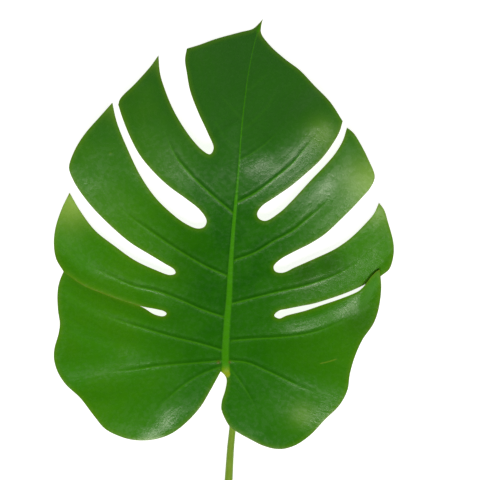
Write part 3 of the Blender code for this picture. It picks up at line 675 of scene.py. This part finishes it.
def makeUpperMaterial():
    material, tree, shader = newMaterial("leafUpper")
    look = bladeColours
    place = addNode(tree, "ShaderNodeTexCoord").outputs["Object"]
    position = addNode(tree, "ShaderNodeSeparateXYZ", {"Vector": place}).outputs
    patches = useGroup(tree, mottle, {"Vector": place, "Scale": 55.0})
    drifts = useGroup(tree, mottle, {"Vector": place, "Scale": 24.0})
    net = useGroup(tree, veinletNet, {"Vector": place, "Scale": 260.0, "Width": 0.1})["Net"]
    lines = calculate(tree, "MULTIPLY", attribute(tree, "grain"), useGroup(tree, streaks, {
        "Across": attribute(tree, "across"), "Along": attribute(tree, "along"),
        "Spacing": 3.2, "Length": 45.0})["Streaks"])
    rim = useGroup(tree, rimTint, {
        "Vector": place, "Margin": attribute(tree, "margin"), "Width": 1.1})["Rim"]
    # Towards the tip the green turns greyer and lighter: a painted dull sheen
    apex = rangeOf(tree, position["Y"], 0.04, 0.16)
    low = rangeOf(tree, position["Y"], 0.02, -0.07)
    outer = rangeOf(tree, attribute(tree, "outward"), 12.0, 95.0)
    edge = rangeOf(tree, attribute(tree, "margin"), 5.0, 0.0)
    colour = layered(tree, look["web"], [
        (patches["Patches"], 0.5, look["webPale"]),
        (outer, 0.9, look["outer"]),
        (apex, 0.85, look["apex"]),
        (low, 0.4, look["low"]),
        (calculate(tree, "MULTIPLY", drifts["Patches"], outer), 0.3, look["warm"]),
        (lines, 0.22, look["webPale"]),
        (net, 0.12, look["webPale"]),
        (edge, 0.35, look["edge"]),
        # Paler skin with a painted highlight at some lobe tips
        (attribute(tree, "paleTipAndHighlight"), 0.8, look["paleTipAndHighlight"]),
        # Painted shade in the darker patches
        (attribute(tree, "deep"), 0.8, look["deep"]),
        # Painted shade along the ribs and beside the midrib
        (attribute(tree, "creaseShade"), 0.4, look["creaseShade"]),
        (attribute(tree, "vein"), 0.72, look["vein"]),
        (attribute(tree, "midrib"), 1.0, look["midrib"]),
        (attribute(tree, "stub"), 1.0, look["stub"]),
        (attribute(tree, "scar"), 0.8, look["scar"]),
        (rim, 0.7, look["rim"]),
        (attribute(tree, "brown"), 0.8, look["brown"])])
    tree.links.new(colour, shader.inputs["Base Color"])
    roughness = calculate(tree, "MULTIPLY", patches["Fine"], 0.1)
    tree.links.new(calculate(tree, "ADD", roughness, look["roughness"] - 0.05),
                   shader.inputs["Roughness"])
    height = calculate(tree, "ADD", calculate(tree, "MULTIPLY", lines, 0.3),
                       calculate(tree, "MULTIPLY", patches["Fine"], 0.25))
    height = calculate(tree, "SUBTRACT", height, calculate(tree, "MULTIPLY", net, 0.2))
    bump = addNode(tree, "ShaderNodeBump", {"Strength": 0.5, "Distance": 0.0002, "Height": height})
    tree.links.new(bump.outputs[0], shader.inputs["Normal"])
    return material


def makeUnderMaterial():
    material, tree, shader = newMaterial("leafUnder")
    look = bladeColours
    place = addNode(tree, "ShaderNodeTexCoord").outputs["Object"]
    patches = useGroup(tree, mottle, {"Vector": place, "Scale": 60.0})
    net = useGroup(tree, veinletNet, {"Vector": place, "Scale": 260.0, "Width": 0.14})["Net"]
    lines = calculate(tree, "MULTIPLY", attribute(tree, "grain"), useGroup(tree, streaks, {
        "Across": attribute(tree, "across"), "Along": attribute(tree, "along"),
        "Spacing": 3.2, "Length": 45.0})["Streaks"])
    rim = useGroup(tree, rimTint, {
        "Vector": place, "Margin": attribute(tree, "margin"), "Width": 1.2})["Rim"]
    colour = layered(tree, look["under"], [
        (patches["Patches"], 0.5, look["underPale"]),
        (net, 0.5, look["underPale"]),
        (lines, 0.3, look["underPale"]),
        (attribute(tree, "vein"), 1.0, look["underVein"]),
        (attribute(tree, "midrib"), 1.0, look["underVein"]),
        (rim, 0.6, look["rim"])])
    tree.links.new(colour, shader.inputs["Base Color"])
    shader.inputs["Roughness"].default_value = look["underRoughness"]
    height = calculate(tree, "ADD", net, calculate(tree, "MULTIPLY", lines, 0.5))
    bump = addNode(tree, "ShaderNodeBump", {"Strength": 0.6, "Distance": 0.0002, "Height": height})
    tree.links.new(bump.outputs[0], shader.inputs["Normal"])
    return material


def makeRimMaterial():
    material, tree, shader = newMaterial("leafRim")
    place = addNode(tree, "ShaderNodeTexCoord").outputs["Object"]
    patches = useGroup(tree, mottle, {"Vector": place, "Scale": 120.0})
    colour = layered(tree, bladeColours["rim"], [(patches["Patches"], 0.6, bladeColours["vein"])])
    tree.links.new(colour, shader.inputs["Base Color"])
    shader.inputs["Roughness"].default_value = 0.5
    return material


def makeBlade():
    pattern, triangles = flatPattern()
    x, y = pattern[:, 0], pattern[:, 1]
    print("blade pattern:", len(pattern), "points,", len(triangles), "triangles")
    margin = distanceTo(marginTree, x, y)
    ribPlaces = {name: alongAndAcross(x, y, runOn(path, leaf["runOn"]))
                 for name, path in ribPaths.items()}
    z = formHeight(x, y, margin, ribPlaces)
    upper, under, masks = ribDetail(x, y, ribPlaces)
    size = leaf["puckerSize"]
    pucker = np.array([noise.noise(Vector((px / size, py / size, leaf["puckerSlice"])))
                       for px, py in zip(x, y)])
    upper = upper + leaf["pucker"] * pucker * smoothStep(margin / leaf["puckerFromMargin"])
    wart = leaf["wart"]
    fromWart = np.hypot(x - wart["place"][0], y - wart["place"][1])
    upper = upper + wart["height"] * bell(fromWart, wart["radius"])
    low = np.maximum(z - leaf["cadThickness"] / 2 - under, 0)
    full = smoothStep(margin / leaf["rimReach"])
    thin = leaf["rimThickness"] + (leaf["thickness"] - leaf["rimThickness"]) * full
    high = low + under + thin + np.maximum(upper, leaf["leastThickness"] - thin)
    scratchPath = smoothCurve(leaf["scratch"], leaf["markMeasuringStep"])
    _, scratch, _ = alongAndAcross(x, y, scratchPath)
    movedX, movedY = slid(x, y)
    masks["margin"] = np.minimum(margin, leaf["marginSeen"])
    aside = x - midribX(y)
    masks["outward"] = np.where(aside > 0, aside * leaf["rightPaleness"], -aside)
    shares = lobeShares(x, y)
    # Pale patches that carry a painted highlight, and darker patches of painted shade
    for label, patches in (("paleTipAndHighlight", leaf["paleTipsAndHighlights"]), ("deep", leaf["shadePatches"])):
        masks[label] = np.max([
            strength * shares[lobe] * bell(np.hypot(x - place[0], y - place[1]), reach)
            for lobe, place, reach, strength in patches], axis=0)
    pastStub = smoothStep((y - leaf["stubFrom"]) / leaf["stubLength"])
    masks["stub"] = masks["midrib"] * (1 - pastStub)
    masks["brown"] = sum(bell(np.hypot(x - spotX, y - spotY), radius)
                         for spotX, spotY, radius in leaf["brownSpots"])
    masks["scar"] = np.maximum(np.clip(1 - np.abs(scratch) / leaf["scratchHalfWidth"], 0, 1),
                               wart["pale"] * bell(fromWart, wart["paleRadius"]))
    count = len(pattern)
    flipped = triangles[:, ::-1] + count
    used = {}
    for a, b, c in triangles.tolist():
        used[(a, b)] = used[(b, c)] = used[(c, a)] = True
    border = np.array([(a, b) for a, b in used if (b, a) not in used])
    rimA = np.column_stack([border[:, 1], border[:, 0], border[:, 0] + count])
    rimB = np.column_stack([border[:, 1], border[:, 0] + count, border[:, 1] + count])
    faces = np.vstack([triangles, flipped, rimA, rimB])
    slots = np.repeat([0, 1, 2], [len(triangles), len(flipped), 2 * len(border)])
    flat = np.column_stack([np.tile(movedX, 2), np.tile(movedY, 2), np.concatenate([high, low])])
    cadBladeLow, cadBladeHigh = [np.array(corner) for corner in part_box("blade")]
    middle = (flat[:, :2].max(axis=0) + flat[:, :2].min(axis=0)) / 2 * mm
    leafBase = (cadBladeLow + cadBladeHigh)[:2] / 2 - middle
    placed = flat * mm + np.array([*leafBase, 0])
    placed = np.clip(placed, cadBladeLow, cadBladeHigh)
    values = {label: np.tile(numbers, 2) for label, numbers in masks.items()}
    materials = [makeUpperMaterial(), makeUnderMaterial(), makeRimMaterial()]
    blade = meshPiece("leafBlade", placed.tolist(), faces.tolist(), materials, slots, values)
    blade.data.set_sharp_from_angle(angle=math.radians(leaf["sharpAngle"]))
    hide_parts("blade")
    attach(blade, "root")
    print("blade made:", len(faces), "triangles")
    return leafBase


leafBase = makeBlade()


# The stalk, cut below, with the knee that carries the blade

stalk = {
    # Middle line from the knee down: x, y and how far it is lifted off the floor
    "path": [(2.6, -3.4, 7.9), (4.2, -9.5, 3.4), (5.6, -17.0, 1.0), (6.3, -29.0, 0.1),
             (5.6, -47.0, 0.0), (3.8, -66.0, 0.0), (2.2, -92.0, 0.0), (0.0, -125.0, 0.0),
             (-3.0, -165.0, 0.0)],
    "radius": [(0, 2.6), (6, 3.2), (14, 3.2), (30, 2.85), (48, 2.85), (66, 3.05), (92, 3.45),
               (125, 3.85), (175, 4.2)],
    "channel": 0.12, "channelSharpness": 6, "sides": 56, "step": 0.9,
    "ridges": 17, "ridgeHeight": 0.035, "ridgeRadius": 3,
    "wrinkleSpacing": 1.5, "wrinkleHeight": 0.07,
    "kneeLength": 13.0, "kneeFadeFrom": 0.7, "kneeFadeOver": 0.5,
    "streakTurns": 9, "flankShadeSharpness": 2.5,
    # The cut face: how far it domes, its rings, and the ring where the skin's green ends
    "cutDome": 0.5, "cutRings": (0.94, 0.8, 0.6, 0.4, 0.2), "cutEdgeFrom": 0.8,
    "sharpAngle": 45,
    # The side green darkens the streaks, and paints shade on the stalk's flanks
    "green": tint(116, 152, 14), "pale": tint(138, 168, 48), "side": tint(96, 128, 8),
    "knee": tint(128, 158, 40), "fleck": tint(150, 160, 96), "cut": tint(196, 204, 150),
    "cutDot": tint(150, 160, 96), "roughness": 0.42,
}


def makeStalkMaterial():
    material, tree, shader = newMaterial("stalkSkin")
    place = addNode(tree, "ShaderNodeTexCoord").outputs["Object"]
    patches = useGroup(tree, mottle, {"Vector": place, "Scale": 90.0})
    lines = useGroup(tree, streaks, {
        "Across": attribute(tree, "around"), "Along": attribute(tree, "along"),
        "Spacing": 1.1, "Length": 40.0})["Streaks"]
    flecks = addNode(tree, "ShaderNodeTexVoronoi", {"Vector": place, "Scale": 260.0})
    fleck = rangeOf(tree, flecks.outputs["Distance"], 0.13, 0.05)
    colour = layered(tree, stalk["green"], [
        (patches["Patches"], 0.4, stalk["pale"]),
        (lines, 0.35, stalk["side"]),
        # Painted shade on the stalk's flanks
        (attribute(tree, "flankShade"), 0.6, stalk["side"]),
        (attribute(tree, "knee"), 0.7, stalk["knee"]),
        (fleck, 0.5, stalk["fleck"])])
    tree.links.new(colour, shader.inputs["Base Color"])
    tree.links.new(rangeOf(tree, patches["Fine"], 0.0, 1.0, stalk["roughness"] - 0.05,
                           stalk["roughness"] + 0.1), shader.inputs["Roughness"])
    height = calculate(tree, "ADD", lines, calculate(tree, "MULTIPLY", fleck, 0.6))
    bump = addNode(tree, "ShaderNodeBump", {"Strength": 0.5, "Distance": 0.0001, "Height": height})
    tree.links.new(bump.outputs[0], shader.inputs["Normal"])
    return material


def makeCutMaterial():
    material, tree, shader = newMaterial("stalkCut")
    place = addNode(tree, "ShaderNodeTexCoord").outputs["Object"]
    patches = useGroup(tree, mottle, {"Vector": place, "Scale": 300.0})
    dots = addNode(tree, "ShaderNodeTexVoronoi", {"Vector": place, "Scale": 1300.0})
    dot = rangeOf(tree, dots.outputs["Distance"], 0.42, 0.2)
    colour = layered(tree, stalk["cut"], [
        (patches["Patches"], 0.4, stalk["pale"]),
        (dot, 0.8, stalk["cutDot"]),
        (attribute(tree, "cutEdge"), 0.9, stalk["green"])])
    tree.links.new(colour, shader.inputs["Base Color"])
    shader.inputs["Roughness"].default_value = 0.6
    bump = addNode(tree, "ShaderNodeBump", {"Strength": 0.7, "Distance": 0.0002, "Height": dot})
    tree.links.new(bump.outputs[0], shader.inputs["Normal"])
    return material


def makeStalk():
    path = smoothCurve(stalk["path"], stalk["step"])
    length = np.concatenate([[0], np.cumsum(np.linalg.norm(np.diff(path, axis=0), axis=1))])
    radius = np.interp(length, *zip(*stalk["radius"]))
    fadeFrom, fadeOver = [stalk["kneeLength"] * stalk[name]
                          for name in ("kneeFadeFrom", "kneeFadeOver")]
    inKnee = 1 - smoothStep((length - fadeFrom) / fadeOver)
    radius = radius - stalk["wrinkleHeight"] * inKnee * (
        1 + np.cos(2 * math.pi * length / stalk["wrinkleSpacing"])) / 2
    angle = np.linspace(0, 2 * math.pi, stalk["sides"], endpoint=False)
    upward = np.maximum(0, np.sin(angle))
    channel = 1 - stalk["channel"] * upward ** stalk["channelSharpness"]
    ridge = 1 - stalk["ridgeHeight"] * (
        1 + np.cos(angle * stalk["ridges"])) / 2 / stalk["ridgeRadius"]
    tangent = np.gradient(path, axis=0)
    rings = []
    for centre, along, size in zip(path, tangent, radius):
        forward = Vector(along).normalized()
        across = np.array(forward.cross(Vector((0, 0, 1))).normalized())
        up = np.cross(across, forward)
        middle = centre + np.array([0, 0, size])
        spokes = np.outer(np.cos(angle), across) + np.outer(np.sin(angle), up)
        rings.append(middle + spokes * (size * channel * ridge)[:, None])
    endCentre = rings[-1].mean(axis=0)
    outward = np.array(Vector(tangent[-1]).normalized())
    for share in stalk["cutRings"]:
        rings.append(endCentre + (rings[len(path) - 1] - endCentre) * share
                     - outward * stalk["cutDome"] * (1 - share ** 2))
    sides, ringCount = stalk["sides"], len(rings)
    turned = angle / math.pi * stalk["streakTurns"]
    # How far each point faces sideways, for the painted shade on the flanks
    flankShade = np.abs(np.cos(angle)) ** stalk["flankShadeSharpness"]
    onSkin = np.arange(ringCount) < len(path)
    cut = np.zeros(len(stalk["cutRings"]))
    edgeFrom = stalk["cutEdgeFrom"]
    edges = np.maximum(0, (np.array(stalk["cutRings"]) - edgeFrom) / (1 - edgeFrom))
    values = {"around": np.tile(turned, ringCount),
              "along": np.repeat([*length, *(cut + length[-1])], sides),
              "flankShade": np.outer(onSkin, flankShade).ravel(),
              "knee": np.repeat([*inKnee, *cut], sides),
              "cutEdge": np.repeat([*np.ones(len(path)), *edges], sides)}
    # The last two points close the cut end and the knee's top
    values = {label: np.append(numbers, [0, label == "knee"]) for label, numbers in values.items()}
    vertices = np.vstack(rings)
    tail = len(vertices)
    vertices = np.vstack([vertices, endCentre - outward * stalk["cutDome"],
                          rings[0].mean(axis=0)])
    faces, slots = [], []
    for ring in range(ringCount - 1):
        for k in range(sides):
            a = ring * sides + k
            b = ring * sides + (k + 1) % sides
            faces.append((a, b, b + sides, a + sides))
            slots.append(1 if ring >= len(path) - 1 else 0)
    for k in range(sides):
        a = (ringCount - 1) * sides + k
        b = (ringCount - 1) * sides + (k + 1) % sides
        faces.append((a, b, tail))
        slots.append(1)
        faces.append(((k + 1) % sides, k, tail + 1))
        slots.append(0)
    cadStalkLow, cadStalkHigh = [np.array(corner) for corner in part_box("petiole")]
    placed = np.clip(vertices * mm + np.array([*leafBase, 0]), cadStalkLow, cadStalkHigh)
    materials = [makeStalkMaterial(), makeCutMaterial()]
    piece = meshPiece("leafStalk", placed.tolist(), faces, materials, slots, values)
    piece.data.set_sharp_from_angle(angle=math.radians(stalk["sharpAngle"]))
    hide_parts("petiole")
    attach(piece, "root")
    print("stalk made:", len(faces), "faces")


makeStalk()


# Floor, light and camera

studio = {
    "floor": tint(188, 188, 188), "floorGlow": 0.85, "floorSize": 6.0, "floorGap": 0.0003,
    "wallGlow": 0.8, "wallFade": (0.25, 0.85),  # pale at eye level and dark overhead
    # Softboxes: direction towards the light, distance, width, length, brightness, colour
    "lights": {
        "keySoftbox": ((0.03, -0.57, 0.84), 3.4, 2.4, 1.0, 12.5, (1.0, 1.0, 0.86)),
    },
    "viewWidth": 0.408, "viewHeight": 2.2, "sensor": 36.0,
    "viewCentre": (11.9, 112.2), "viewLift": 10.0,  # millimetres from the leaf base and floor
}


def makeFloor():
    half = studio["floorSize"] / 2
    corners = [(-half, -half), (half, -half), (half, half), (-half, half)]
    mesh = bpy.data.meshes.new("floor")
    mesh.from_pydata([(x, y, -studio["floorGap"]) for x, y in corners], [], [(0, 1, 2, 3)])
    material, _, shader = newMaterial("floorPaper")
    shader.inputs["Base Color"].default_value = studio["floor"]
    shader.inputs["Roughness"].default_value = 0.9
    shader.inputs["Specular IOR Level"].default_value = 0.1
    shader.inputs["Emission Color"].default_value = (1, 1, 1, 1)
    shader.inputs["Emission Strength"].default_value = studio["floorGlow"]
    mesh.materials.append(material)
    floor = bpy.data.objects.new("floor", mesh)
    bpy.context.scene.collection.objects.link(floor)


def makeLights(centre):
    for name, (towards, distance, width, length, brightness, colour) in studio["lights"].items():
        lamp = bpy.data.lights.new(name, "AREA")
        lamp.shape = "RECTANGLE"
        lamp.size = width
        lamp.size_y = length
        lamp.energy = brightness * math.pi * width * length
        lamp.color = colour
        holder = bpy.data.objects.new(name, lamp)
        direction = Vector(towards).normalized()
        holder.location = centre + direction * distance
        holder.rotation_euler = direction.to_track_quat("Z", "Y").to_euler()
        bpy.context.scene.collection.objects.link(holder)
    world = bpy.data.worlds.new("studioFill")
    world.use_nodes = True
    tree = world.node_tree
    direction = addNode(tree, "ShaderNodeTexCoord").outputs["Generated"]
    height = addNode(tree, "ShaderNodeSeparateXYZ", {"Vector": direction}).outputs["Z"]
    glow = rangeOf(tree, height, *studio["wallFade"], studio["wallGlow"], 0.0)
    tree.nodes["Background"].inputs["Color"].default_value = (1, 1, 1, 1)
    tree.links.new(glow, tree.nodes["Background"].inputs["Strength"])
    bpy.context.scene.world = world


def makeCamera(centre):
    camera = bpy.data.cameras.new("photoCamera")
    camera.sensor_width = studio["sensor"]
    camera.lens = studio["sensor"] * studio["viewHeight"] / studio["viewWidth"]
    holder = bpy.data.objects.new("photoCamera", camera)
    holder.location = centre + Vector((0, 0, studio["viewHeight"]))
    bpy.context.scene.collection.objects.link(holder)
    bpy.context.scene.camera = holder


viewCentre = Vector((leafBase[0] + studio["viewCentre"][0] * mm,
                     leafBase[1] + studio["viewCentre"][1] * mm, studio["viewLift"] * mm))
makeFloor()
makeLights(viewCentre)
makeCamera(viewCentre)
bpy.context.scene.view_settings.view_transform = "Standard"
print("studio made")
